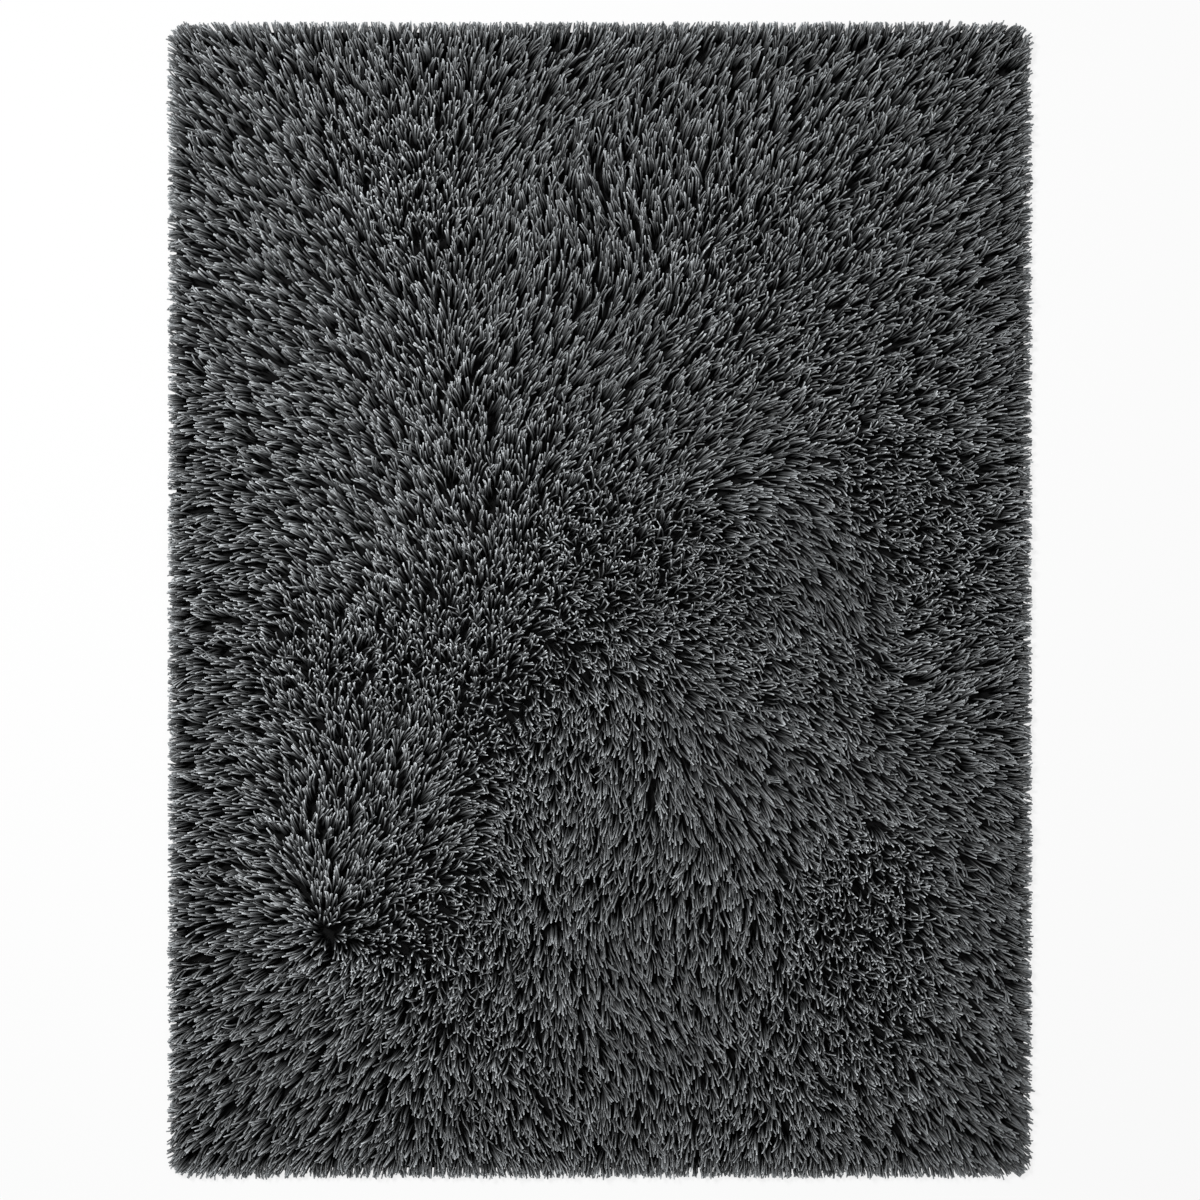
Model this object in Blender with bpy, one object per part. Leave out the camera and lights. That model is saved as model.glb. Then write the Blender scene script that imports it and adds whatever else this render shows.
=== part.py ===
"""A charcoal shag rug, 1.2 m by 1.6 m, as one solid.

The backing cloth and its pile are one slab with a flat underside. The top rises in a lump for
each group of tufts, and every lump leans the way the pile is combed there. Round the rim the
tufts stand out as separate locks, which are fused to the slab at their roots and rest level on
the floor.

Frame: metres, +Z up, +Y along the rug's length, origin on the floor under its middle.
"""
import math
from collections import namedtuple

import bmesh
import bpy
from mathutils import Vector, noise

# ---- driving sizes, in metres ------------------------------------------------------------
RUG_WIDTH = 1.200           # along X, over the tips of the locks
RUG_LENGTH = 1.600          # along Y, over the tips of the locks
UPRIGHT_HEIGHT = 0.045      # from the floor to the top of pile that stands upright
COMBED_HEIGHT = 0.030       # the same where the pile is combed flat
RIM_LUMP_HEIGHT = 0.025     # the same at the rim, where it leans out
RIM_FALL = 0.070            # distance over which the top comes down to that
SIDE_HEIGHT = 0.018         # of the slab's side, where the locks root
CORNER_RADIUS = 0.030       # of the slab's four corners, seen from above

CELLS_ACROSS = 30           # lumps along X
CELLS_ALONG = 40            # lumps along Y
LUMP_RISE = 0.011           # from the valleys round a lump to its top
LUMP_LEAN = 0.013           # how far flat-combed pile carries a lump's top off its middle
ROW_STAGGER = 0.008         # how far every other row of lumps is shifted along X
VALLEY_WANDER = 0.011       # how far a valley strays from its row
HEIGHT_WANDER = 0.005       # unevenness of the lumps' heights
WANDER_SCALE = 31.0         # how often the unevenness changes, per metre
CHANNEL_GAP = 7.3           # how far apart the uneven runs lie in the noise
SIDE_WANDER_SHARE = 0.5     # how much of the heights' unevenness the slab's side has

LOCKS_PER_CELL = 2          # locks for each lump along the rim
LOCK_REACH = 0.034          # from the slab's side to the tip of a full lock
LOCK_SHORTFALL = 0.24       # share by which the shortest lock falls short
LOCK_WAIST = 0.50           # where along its reach a lock has its middle section
LOCK_WAIST_WIDTH = 0.74     # width of that section, as a share of the root's
LOCK_WAIST_HEIGHT = 0.72    # height of that section, as a share of the root's
LOCK_TIP_HEIGHT = 0.009     # of the tip, over the floor
LOCK_MOST_SLANT = 32.0      # degrees a lock may slant from straight out
LOCK_STRAY = 3.0            # degrees by which a lock strays from its neighbours
LOCK_TIP_STRAY = 0.4        # share by which the tips' heights differ
LOCK_TIP_SHARE = 0.2        # section from which the tip is drawn to a point
FULL_LOCK_EVERY = 6         # every sixth lock has the full reach
STRAY_STEP = 2.4            # radians from one lock to the next in each uneven run
SHORTFALL_STEP = 5.1
TIP_STEP = 3.7

# ---- how the pile is combed --------------------------------------------------------------
# x, y: where a stroke of the comb is centred; heading: the way the tips point, in degrees
# from +X towards +Y; lay: 0 where the pile stands upright, 1 where it lies flat.
Stroke = namedtuple("Stroke", "x y heading lay")
STROKES = (
    Stroke(-0.37, 0.50, 135, 0.70),
    Stroke(-0.27, 0.56, 100, 0.35),
    Stroke(-0.08, 0.68, 65, 0.70),
    Stroke(0.00, 0.56, 98, 0.70),
    Stroke(0.28, 0.55, 52, 0.75),
    Stroke(0.05, 0.40, 62, 0.70),
    Stroke(-0.20, 0.30, 115, 0.60),
    Stroke(-0.14, 0.30, 70, 0.55),
    Stroke(0.30, 0.33, 35, 0.65),
    Stroke(-0.36, 0.20, 150, 0.60),
    Stroke(0.02, 0.20, 52, 0.45),
    Stroke(0.05, 0.07, 40, 0.15),
    Stroke(0.28, 0.06, -45, 0.70),
    Stroke(0.41, 0.10, -10, 0.20),
    Stroke(-0.33, -0.09, 90, 0.20),
    Stroke(-0.14, -0.14, 45, 0.20),
    Stroke(0.10, -0.12, -45, 0.60),
    Stroke(0.33, -0.10, -20, 0.40),
    Stroke(-0.40, -0.22, 140, 0.60),
    Stroke(-0.26, -0.26, 60, 0.60),
    Stroke(0.00, -0.30, -95, 0.60),
    Stroke(0.16, -0.25, -52, 0.70),
    Stroke(0.34, -0.24, -50, 0.60),
    Stroke(-0.31, -0.42, 35, 0.30),
    Stroke(-0.36, -0.53, 222, 0.60),
    Stroke(-0.06, -0.50, -90, 0.60),
    Stroke(0.10, -0.55, -60, 0.60),
    Stroke(0.33, -0.50, -65, 0.25),
    Stroke(-0.15, -0.63, -85, 0.30),
    Stroke(0.20, -0.68, -80, 0.50),
)
STROKE_SPREAD = 0.075       # radius over which a stroke is felt
OUTWARD_PULL = 0.05         # weight of the outward lay that the whole rug has
OUTWARD_LAY = 0.70
RIM_PULL = 2.0              # weight of that outward lay at the rim

# ---- finish ------------------------------------------------------------------------------
YARN_COLOUR = (0.045, 0.048, 0.050, 1.0)
YARN_ROUGHNESS = 0.65
SHARP_ANGLE = 75.0          # degrees past which an edge of the solid is shaded sharp

SLAB_WIDTH = RUG_WIDTH - 2 * LOCK_REACH
SLAB_LENGTH = RUG_LENGTH - 2 * LOCK_REACH


def clear_scene():
    for item in list(bpy.data.objects):
        bpy.data.objects.remove(item, do_unlink=True)


def smoothstep(value):
    value = min(1.0, max(0.0, value))
    return value * value * (3.0 - 2.0 * value)


def rim_distance(x, y):
    """How far a point of the slab is from its nearest side."""
    return min(SLAB_WIDTH / 2 - abs(x), SLAB_LENGTH / 2 - abs(y))


def outward(x, y):
    """The way out from the rug's middle, square to each side and slantwise at the corners."""
    way = Vector((2 * x / RUG_WIDTH, 2 * y / RUG_LENGTH))
    return way.normalized() if way.length > 0 else way


def comb(x, y):
    """The pile's lay at a point: a flat vector towards the tips, as long as the lay."""
    nearness = 1.0 - smoothstep(rim_distance(x, y) / RIM_FALL)
    weight = OUTWARD_PULL + RIM_PULL * nearness
    total = outward(x, y) * OUTWARD_LAY * weight
    weights = weight
    for stroke in STROKES:
        apart = math.hypot(x - stroke.x, y - stroke.y) / STROKE_SPREAD
        weight = math.exp(-0.5 * apart * apart)
        angle = math.radians(stroke.heading)
        total += Vector((math.cos(angle), math.sin(angle))) * stroke.lay * weight
        weights += weight
    return total / weights


def wander(x, y, channel):
    """A smooth unevenness from -1 to 1, another one for each channel."""
    return noise.noise(Vector((x * WANDER_SCALE, y * WANDER_SCALE, CHANNEL_GAP * channel)))


def pile_top(x, y):
    """The height of the pile over the floor, before its lumps."""
    full = UPRIGHT_HEIGHT + (COMBED_HEIGHT - UPRIGHT_HEIGHT) * smoothstep(comb(x, y).length)
    share = smoothstep(rim_distance(x, y) / RIM_FALL)
    return RIM_LUMP_HEIGHT + (full - RIM_LUMP_HEIGHT) * share


def round_corner(point):
    """Bring a point that lies outside the slab's rounded corner back onto it."""
    corner = Vector((SLAB_WIDTH / 2 - CORNER_RADIUS, SLAB_LENGTH / 2 - CORNER_RADIUS))
    past = Vector((abs(point.x) - corner.x, abs(point.y) - corner.y))
    if past.x <= 0 or past.y <= 0:
        return
    longest = max(past.x, past.y)
    shrink = longest / past.length
    point.x = math.copysign(corner.x + past.x * shrink, point.x)
    point.y = math.copysign(corner.y + past.y * shrink, point.y)


def lay_valleys(mesh):
    """Place the grid's points: the valleys between the lumps, and the rim round them."""
    for vert in mesh.verts:
        x, y = vert.co.x, vert.co.y
        uneven = HEIGHT_WANDER * wander(x, y, 3)
        if vert.is_boundary:
            vert.co.z = SIDE_HEIGHT + SIDE_WANDER_SHARE * uneven
        else:
            row = round(y / SLAB_LENGTH * CELLS_ALONG)
            vert.co.x += ROW_STAGGER * (row % 2 - 0.5) + VALLEY_WANDER * wander(x, y, 1)
            vert.co.y += VALLEY_WANDER * wander(x, y, 2)
            vert.co.z = pile_top(x, y) + uneven - LUMP_RISE
        round_corner(vert.co)


def raise_lumps(mesh):
    """Give each cell of the grid one lump, its top carried the way the pile leans."""
    poked = bmesh.ops.poke(mesh, faces=list(mesh.faces))
    for top in poked["verts"]:
        x, y = top.co.x, top.co.y
        lean = comb(x, y) * LUMP_LEAN
        top.co.x += lean.x
        top.co.y += lean.y
        top.co.z = pile_top(x, y) + HEIGHT_WANDER * wander(x, y, 4)


def rim_edges(mesh):
    return [edge for edge in mesh.edges if edge.is_boundary]


def drop_sides(mesh):
    """Close the slab with upright sides and a flat underside. Returns the sides."""
    grown = bmesh.ops.extrude_edge_only(mesh, edges=rim_edges(mesh))["geom"]
    for item in grown:
        if isinstance(item, bmesh.types.BMVert):
            item.co.z = 0.0
    underside = bmesh.ops.contextual_create(mesh, geom=rim_edges(mesh))["faces"]
    bmesh.ops.poke(mesh, faces=underside)
    return [item for item in grown if isinstance(item, bmesh.types.BMFace)]


def lock_way(root, normal, index):
    """The way a lock points, along the combed pile but never far from straight out.

    Also gives the share of the lock's length that goes straight out.
    """
    straight = math.atan2(normal.y, normal.x)
    lay = comb(root.x, root.y)
    slant = math.atan2(lay.y, lay.x) - straight
    slant = (slant + math.pi) % math.tau - math.pi
    most = math.radians(LOCK_MOST_SLANT)
    slant = min(most, max(-most, slant))
    slant += math.radians(LOCK_STRAY) * math.sin(STRAY_STEP * index)
    angle = straight + slant
    return Vector((math.cos(angle), math.sin(angle), 0.0)), math.cos(slant)


def grow_section(mesh, face, centre, width_share, height_share):
    """Extrude a lock's end face to a new section round a point, with its foot on the floor."""
    middle = face.calc_center_median()
    section = bmesh.ops.extrude_discrete_faces(mesh, faces=[face])["faces"][0]
    for vert in section.verts:
        across = (vert.co - middle) * width_share
        vert.co.x = centre.x + across.x
        vert.co.y = centre.y + across.y
        vert.co.z *= height_share
    return section


def grow_lock(mesh, side, index):
    """Draw one side of the slab out into a lock: a waist, then a pointed tip."""
    root = side.calc_center_median()
    way, out_share = lock_way(root, side.normal, index)
    shortfall = LOCK_SHORTFALL * (0.5 + 0.5 * math.sin(SHORTFALL_STEP * index))
    if index % FULL_LOCK_EVERY == 0:
        shortfall = 0.0
    reach = way * LOCK_REACH * (1.0 - shortfall) / out_share
    waist = grow_section(mesh, side, root + reach * LOCK_WAIST,
                         LOCK_WAIST_WIDTH, LOCK_WAIST_HEIGHT)
    end = grow_section(mesh, waist, root + reach, LOCK_TIP_SHARE, LOCK_TIP_SHARE)
    tip = root + reach
    tip.z = LOCK_TIP_HEIGHT * (1.0 + LOCK_TIP_STRAY * math.sin(TIP_STEP * index))
    bmesh.ops.pointmerge(mesh, verts=list(end.verts), merge_co=tip)


def turn_round_rim(side):
    """Sort key that takes the slab's sides in turn round the rim."""
    centre = side.calc_center_median()
    return math.atan2(centre.y / SLAB_LENGTH, centre.x / SLAB_WIDTH)


def build_rug():
    """The slab's combed top, its sides and underside, and the locks round it."""
    mesh = bmesh.new()
    bmesh.ops.create_grid(mesh, x_segments=CELLS_ACROSS, y_segments=CELLS_ALONG, size=1.0)
    for vert in mesh.verts:
        vert.co.x *= SLAB_WIDTH / 2
        vert.co.y *= SLAB_LENGTH / 2
    bmesh.ops.bisect_edges(mesh, edges=rim_edges(mesh), cuts=LOCKS_PER_CELL - 1)
    lay_valleys(mesh)
    raise_lumps(mesh)
    sides = drop_sides(mesh)
    bmesh.ops.recalc_face_normals(mesh, faces=list(mesh.faces))
    for index, side in enumerate(sorted(sides, key=turn_round_rim)):
        grow_lock(mesh, side, index)
    bmesh.ops.recalc_face_normals(mesh, faces=list(mesh.faces))
    return mesh


def yarn_material():
    material = bpy.data.materials.new("charcoal_yarn")
    material.use_nodes = True
    shader = material.node_tree.nodes["Principled BSDF"]
    shader.inputs["Base Color"].default_value = YARN_COLOUR
    shader.inputs["Roughness"].default_value = YARN_ROUGHNESS
    shader.inputs["Metallic"].default_value = 0.0
    return material


def main():
    clear_scene()
    shape = build_rug()
    data = bpy.data.meshes.new("shag_rug")
    shape.to_mesh(data)
    shape.free()
    data.shade_smooth()
    data.set_sharp_from_angle(angle=math.radians(SHARP_ANGLE))
    data.materials.append(yarn_material())
    rug = bpy.data.objects.new("shag_rug", data)
    bpy.context.scene.collection.objects.link(rug)


main()
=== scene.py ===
"""Looks of a charcoal shag rug: its woven backing cloth and every yarn of its combed pile.

The pile is tufted: yarns stand in small bunches on the backing, and each bunch leans the way
the pile is combed where it stands.  A short table of comb strokes gives that lay.
"""

import math
from collections import namedtuple

import bmesh
import bpy
import numpy as np
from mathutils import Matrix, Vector

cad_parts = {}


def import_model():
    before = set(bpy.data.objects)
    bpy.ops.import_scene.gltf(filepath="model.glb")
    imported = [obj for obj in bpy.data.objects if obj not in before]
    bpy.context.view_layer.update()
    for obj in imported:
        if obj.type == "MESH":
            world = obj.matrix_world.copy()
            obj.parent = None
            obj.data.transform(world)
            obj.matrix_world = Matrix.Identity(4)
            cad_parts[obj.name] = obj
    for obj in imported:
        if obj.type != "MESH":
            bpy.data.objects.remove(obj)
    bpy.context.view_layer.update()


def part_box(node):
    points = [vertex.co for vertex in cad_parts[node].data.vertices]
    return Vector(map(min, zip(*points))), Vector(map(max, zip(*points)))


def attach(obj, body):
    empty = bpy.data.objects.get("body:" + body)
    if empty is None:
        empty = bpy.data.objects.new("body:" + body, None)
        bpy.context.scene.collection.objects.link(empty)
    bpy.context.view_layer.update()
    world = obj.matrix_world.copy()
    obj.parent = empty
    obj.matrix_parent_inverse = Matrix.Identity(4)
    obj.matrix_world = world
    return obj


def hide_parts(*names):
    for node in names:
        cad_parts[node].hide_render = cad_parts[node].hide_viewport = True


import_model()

# ---- sizes, in metres --------------------------------------------------------------------
RUG_LOW, RUG_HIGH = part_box("shag_rug")
RUG_WIDTH = RUG_HIGH[0] - RUG_LOW[0]
RUG_LENGTH = RUG_HIGH[1] - RUG_LOW[1]

OVERHANG = 0.012            # from the backing's edge to where the pile is trimmed
BACKING_THICKNESS = 0.0026
BACKING_CORNER = 0.010      # radius of the backing's corners, seen from above
TUFT_PITCH = 0.0128         # between neighbouring tufts
TUFT_STRAY = 0.26           # how far a tuft strays from its place, in pitches
PARTING_FILL = 0.044        # tufts added at one place for each unit of parting there
RIM_FILL = 0.9              # share by which more tufts stand near the rim
MOST_TUFTS = 4.0            # at one place where the comb parts it most
TUFT_HALF_WIDTH = 0.0055    # of a tuft at its root, across the way it leans
TUFT_HALF_DEPTH = 0.0046    # the same along the way it leans
ROOT_HEIGHT_SHARE = 0.8     # where the yarns root, as a share of the backing's thickness
RIM_PITCH = 0.0028          # between the tufts of the row that runs round the rim
RIM_INSET = 0.016           # of that row from the backing's edge
FIELD_INSET = 0.019         # of the field's outermost tufts from the backing's edge
YARN_LENGTH = 0.048
RIM_LENGTH_SHARE = 0.92     # length of the rim's yarns, as a share of the others'
YARN_RADIUS = 0.00138
YARNS_FEWEST = 3
YARNS_MOST = 5
RIM_YARNS = 3
TRIM_LINE = (RUG_WIDTH / 2, RUG_LENGTH / 2 + 0.0022)    # half sizes of the trimmed pile
TRIM_CORNER = 0.019         # how much its corners cut off, both ways added
TRIM_TEETH = 0.008          # how far short of the trim line the shortest yarns end

# ---- how the pile is combed --------------------------------------------------------------
# x, y: where a stroke of the comb is centred, from the rug's middle; heading: the way the
# tips point, in degrees from +X towards +Y; lay: 0 upright to 1 flat; stir: 0 for pile that
# lies evenly to 1 where it is tousled; spread: radius over which the stroke is felt.
STROKE_SPREAD = 0.048
Stroke = namedtuple("Stroke", "x y heading lay stir spread", defaults=(STROKE_SPREAD,))
STROKES = (
    Stroke(-0.37, 0.51, 132, 0.75, 0.1),
    Stroke(-0.30, 0.60, 110, 0.45, 0.3),
    Stroke(-0.26, 0.53, 95, 0.30, 0.4),
    Stroke(-0.24, 0.71, 92, 0.60, 0.2),
    Stroke(-0.28, 0.39, 125, 0.70, 0.1),
    Stroke(-0.43, 0.33, 148, 0.75, 0.1),
    Stroke(-0.24, 0.28, 118, 0.60, 0.2),
    Stroke(-0.55, 0.22, 178, 0.65, 0.1),
    Stroke(-0.40, 0.17, 158, 0.65, 0.1),
    Stroke(-0.29, 0.14, 132, 0.70, 0.1),
    Stroke(-0.21, 0.08, 117, 0.60, 0.2),
    Stroke(-0.36, 0.01, 143, 0.65, 0.1),
    Stroke(-0.53, 0.01, 182, 0.60, 0.2),
    Stroke(-0.15, 0.36, 66, 0.60, 0.2),
    Stroke(-0.145, 0.17, 72, 0.50, 0.2),
    Stroke(-0.13, 0.00, 65, 0.40, 0.3),
    Stroke(-0.13, 0.68, 58, 0.70, 0.1),
    Stroke(-0.05, 0.49, 112, 0.70, 0.1),
    Stroke(0.01, 0.50, 112, 0.75, 0.1),
    Stroke(0.07, 0.595, 82, 0.70, 0.1),
    Stroke(-0.09, 0.44, 60, 0.75, 0.1),
    Stroke(0.03, 0.43, 68, 0.70, 0.1),
    Stroke(-0.03, 0.74, 53, 0.70, 0.1),
    Stroke(0.22, 0.66, 62, 0.68, 0.1),
    Stroke(0.18, 0.45, 55, 0.50, 0.4),
    Stroke(0.37, 0.52, 47, 0.52, 0.3),
    Stroke(0.00, 0.32, 52, 0.75, 0.1),
    Stroke(0.14, 0.30, 45, 0.55, 0.3),
    Stroke(0.305, 0.31, 33, 0.50, 0.4),
    Stroke(0.45, 0.35, 27, 0.52, 0.4),
    Stroke(-0.055, 0.21, 58, 0.50, 0.3),
    Stroke(0.055, 0.19, 48, 0.60, 0.3),
    Stroke(0.195, 0.185, 30, 0.75, 0.1),
    Stroke(-0.015, 0.085, 50, 0.20, 0.8),
    Stroke(0.06, 0.03, 48, 0.30, 0.9),
    Stroke(0.12, 0.06, 48, 0.35, 0.8),
    Stroke(0.19, 0.02, -10, 0.25, 0.9),
    Stroke(0.265, 0.085, -42, 0.75, 0.1),
    Stroke(0.25, 0.00, -52, 0.75, 0.1),
    Stroke(0.33, 0.02, -55, 0.70, 0.2),
    Stroke(0.38, 0.15, -10, 0.25, 0.7),
    Stroke(0.45, 0.04, 0, 0.25, 0.8),
    Stroke(0.54, 0.06, 0, 0.50, 0.3),
    Stroke(-0.37, -0.09, 62, 0.25, 0.8),
    Stroke(-0.25, -0.085, 80, 0.30, 0.6),
    Stroke(-0.17, -0.07, 70, 0.35, 0.5),
    Stroke(-0.06, -0.05, -30, 0.20, 0.9),
    Stroke(0.01, -0.075, -45, 0.45, 0.5),
    Stroke(0.09, -0.13, -45, 0.65, 0.3),
    Stroke(0.165, -0.07, -5, 0.50, 0.5),
    Stroke(0.28, -0.085, -30, 0.40, 0.6),
    Stroke(0.33, -0.14, -34, 0.55, 0.4),
    Stroke(-0.415, -0.21, 140, 0.65, 0.2),
    Stroke(-0.345, -0.27, 82, 0.60, 0.2),
    Stroke(-0.28, -0.22, 68, 0.60, 0.2),
    Stroke(-0.22, -0.31, 42, 0.65, 0.2),
    Stroke(-0.14, -0.17, 40, 0.15, 1.0),
    Stroke(-0.125, -0.31, -58, 0.45, 0.5),
    Stroke(-0.06, -0.21, -108, 0.50, 0.4),
    Stroke(0.015, -0.31, -110, 0.65, 0.2),
    Stroke(0.055, -0.21, -102, 0.70, 0.2),
    Stroke(0.15, -0.22, -50, 0.75, 0.1),
    Stroke(0.11, -0.40, -104, 0.65, 0.2),
    Stroke(0.235, -0.31, -52, 0.70, 0.1),
    Stroke(0.32, -0.21, -53, 0.65, 0.2),
    Stroke(0.44, -0.25, -25, 0.60, 0.2),
    Stroke(-0.53, -0.33, 186, 0.60, 0.2),
    Stroke(-0.46, -0.41, 152, 0.65, 0.1),
    Stroke(-0.35, -0.40, 50, 0.65, 0.1),
    Stroke(-0.28, -0.42, 36, 0.35, 0.6),
    Stroke(-0.43, -0.50, 212, 0.70, 0.1),
    Stroke(-0.35, -0.55, 226, 0.65, 0.2),
    Stroke(-0.28, -0.475, 50, 0.35, 0.7),
    Stroke(-0.185, -0.43, -20, 0.20, 0.8),
    Stroke(-0.085, -0.42, -96, 0.60, 0.2),
    Stroke(-0.015, -0.54, -68, 0.70, 0.1),
    Stroke(0.13, -0.49, -90, 0.65, 0.2),
    Stroke(-0.10, -0.53, -107, 0.60, 0.3),
    Stroke(-0.20, -0.53, -120, 0.35, 0.6),
    Stroke(0.195, -0.47, -80, 0.60, 0.2),
    Stroke(0.26, -0.55, -82, 0.45, 0.5),
    Stroke(0.345, -0.44, -65, 0.20, 0.8),
    Stroke(0.375, -0.56, -60, 0.20, 0.8),
    Stroke(-0.27, -0.63, 236, 0.60, 0.2),
    Stroke(-0.15, -0.61, -80, 0.20, 0.8),
    Stroke(-0.09, -0.68, -65, 0.55, 0.3),
    Stroke(0.06, -0.67, -80, 0.60, 0.2),
    Stroke(0.20, -0.65, -76, 0.45, 0.4),
    Stroke(0.06, 0.74, 57, 0.70, 0.1),
    Stroke(0.17, 0.75, 60, 0.70, 0.1),
    Stroke(0.31, 0.72, 52, 0.66, 0.1),
    Stroke(0.42, 0.71, 46, 0.64, 0.2),
    Stroke(0.52, 0.63, 40, 0.66, 0.2),
    Stroke(0.53, 0.50, 35, 0.70, 0.1),
    Stroke(0.54, 0.38, 26, 0.70, 0.1),
    Stroke(0.44, -0.13, 26, 0.65, 0.2),
    Stroke(0.53, -0.32, -35, 0.65, 0.2),
    Stroke(0.53, -0.45, -40, 0.65, 0.2),
    Stroke(0.49, -0.61, -46, 0.65, 0.2),
    Stroke(0.37, -0.72, -52, 0.60, 0.2),
    Stroke(-0.11, -0.76, -58, 0.50, 0.3),
    Stroke(-0.34, -0.70, 229, 0.65, 0.2),
    Stroke(-0.46, -0.70, 222, 0.70, 0.1),
    Stroke(-0.53, -0.52, 205, 0.65, 0.1),
    Stroke(-0.54, 0.39, 151, 0.70, 0.1),
    Stroke(-0.50, 0.62, 137, 0.75, 0.1),
    Stroke(-0.36, 0.70, 118, 0.70, 0.1),
    Stroke(-0.18, 0.56, 66, 0.60, 0.2),
    Stroke(-0.12, 0.60, 57, 0.70, 0.1),
    Stroke(-0.145, 0.29, 62, 0.60, 0.2),
    Stroke(0.215, 0.11, -42, 0.60, 0.2),
    Stroke(0.00, -0.17, -96, 0.50, 0.4),
    Stroke(-0.52, -0.10, 184, 0.65, 0.1),
    Stroke(0.09, -0.59, -54, 0.70, 0.1),
    Stroke(0.04, -0.52, -64, 0.70, 0.1),
    Stroke(0.33, -0.61, -54, 0.45, 0.5),
    Stroke(-0.52, 0.07, 190, 0.65, 0.1),
    Stroke(-0.30, -0.53, 228, 0.60, 0.2),
    Stroke(-0.365, -0.43, 45, 0.70, 0.6, 0.022),
    Stroke(-0.36, -0.455, -10, 0.70, 0.8, 0.022),
    Stroke(-0.385, -0.41, 95, 0.85, 0.1, 0.024),
    Stroke(-0.42, -0.42, 145, 0.85, 0.0, 0.024),
    Stroke(-0.395, -0.49, 230, 0.65, 0.2, 0.024),
    Stroke(-0.54, -0.20, 184, 0.65, 0.1),
    Stroke(-0.50, -0.46, 190, 0.65, 0.1),
    Stroke(0.17, -0.71, -106, 0.60, 0.2),
    Stroke(-0.18, -0.67, -74, 0.55, 0.3),
    Stroke(-0.43, -0.455, 182, 0.80, 0.0, 0.036),
    Stroke(0.345, -0.37, -60, 0.20, 0.7),
    Stroke(-0.22, -0.03, 113, 0.40, 0.4, 0.034),
    Stroke(0.44, -0.03, 30, 0.40, 0.4, 0.034),
    Stroke(-0.33, -0.085, 64, 0.35, 0.5, 0.034),
    Stroke(-0.48, -0.03, 158, 0.50, 0.2, 0.034),
    Stroke(0.00, -0.74, -88, 0.60, 0.2, 0.040),
)
LAY_KEPT = 0.50             # 1 lets the lay fade where strokes disagree, 0 keeps it whole
PARTING_STEP = 0.01         # over which the comb's parting is measured, in metres
OUTWARD_PULL = 0.04         # weight of the outward lay that the whole rug has
OUTWARD_LAY = 0.72
OUTWARD_SQUARENESS = 5      # 1 points away from the middle, more points square to the sides
RIM_PULL = 2.5              # weight of that outward lay at the rim
RIM_BAND = 0.044            # how far in from the backing's edge the rim's pull is felt
TINY = 1e-9                 # keeps a division by a length from being one by 0


# ---- node trees --------------------------------------------------------------------------
class Wire:
    """A socket of a node tree. Python's operators on it add Math or Vector Math nodes."""

    def __init__(self, graph, socket):
        self.graph = graph
        self.socket = socket

    def is_vector(self):
        return self.socket.type == "VECTOR"

    def maths(self, operation, *others):
        """A Math node, or a Vector Math node where this wire or another is a vector."""
        wires = (self, *others)
        vectors = [isinstance(w, Wire) and w.is_vector() for w in wires]
        if operation == "MULTIPLY" and vectors.count(True) == 1 and len(wires) == 2:
            vector, number = wires if vectors[0] else wires[::-1]
            return self.graph.add("ShaderNodeVectorMath", {"operation": "SCALE"},
                                  {"Vector": vector, "Scale": number})
        if any(vectors):
            return self.graph.add("ShaderNodeVectorMath", {"operation": operation},
                                  dict(enumerate(wires)))
        return self.graph.add("ShaderNodeMath", {"operation": operation},
                              dict(enumerate(wires)))

    def __add__(self, other):
        return self.maths("ADD", other)

    def __sub__(self, other):
        return self.maths("SUBTRACT", other)

    def __mul__(self, other):
        return self.maths("MULTIPLY", other)

    def __truediv__(self, other):
        return self.maths("DIVIDE", other)

    def __pow__(self, other):
        return self.maths("POWER", other)

    def __neg__(self):
        return self * -1.0

    def __radd__(self, other):
        return self + other

    def __rmul__(self, other):
        return self * other

    def __rsub__(self, other):
        return self * -1.0 + other

    def sin(self):
        return self.maths("SINE")

    def cos(self):
        return self.maths("COSINE")

    def least(self, other):
        return self.maths("MINIMUM", other)

    def most(self, other):
        return self.maths("MAXIMUM", other)

    def length(self):
        return self.graph.add("ShaderNodeVectorMath", {"operation": "LENGTH"},
                              {0: self}, output="Value")

    def unit(self):
        return self.maths("NORMALIZE")

    def parts(self):
        split = self.graph.add("ShaderNodeSeparateXYZ", inputs={0: self}).socket.node
        return tuple(Wire(self.graph, socket) for socket in split.outputs)


class Graph:
    """Builds a node tree, for a material or for geometry."""

    def __init__(self, tree):
        self.tree = tree

    def add(self, kind, settings=None, inputs=None, output=0):
        """Add a node: its settings first, then its sockets' values or links."""
        node = self.tree.nodes.new(kind)
        for name, value in (settings or {}).items():
            setattr(node, name, value)
        for name, value in (inputs or {}).items():
            socket = self.find(node.inputs, name)
            if isinstance(value, Wire):
                self.tree.links.new(value.socket, socket)
            else:
                socket.default_value = value
        return Wire(self, self.find(node.outputs, output))

    @staticmethod
    def find(sockets, name):
        shown = [socket for socket in sockets if socket.enabled]
        if isinstance(name, int):
            return shown[name]
        return next(socket for socket in shown if socket.name == name)

    def vector(self, x, y, z=0.0):
        return self.add("ShaderNodeCombineXYZ", inputs={0: x, 1: y, 2: z})


def add_object(name, data):
    """A new object in the scene, at the origin."""
    thing = bpy.data.objects.new(name, data)
    bpy.context.scene.collection.objects.link(thing)
    return thing


# ---- the comb's lay ----------------------------------------------------------------------
HALF_WIDTH = RUG_WIDTH / 2 - OVERHANG       # of the backing
HALF_LENGTH = RUG_LENGTH / 2 - OVERHANG


def smoothstep(value):
    value = np.clip(value, 0.0, 1.0)
    return value * value * (3.0 - 2.0 * value)


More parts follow.
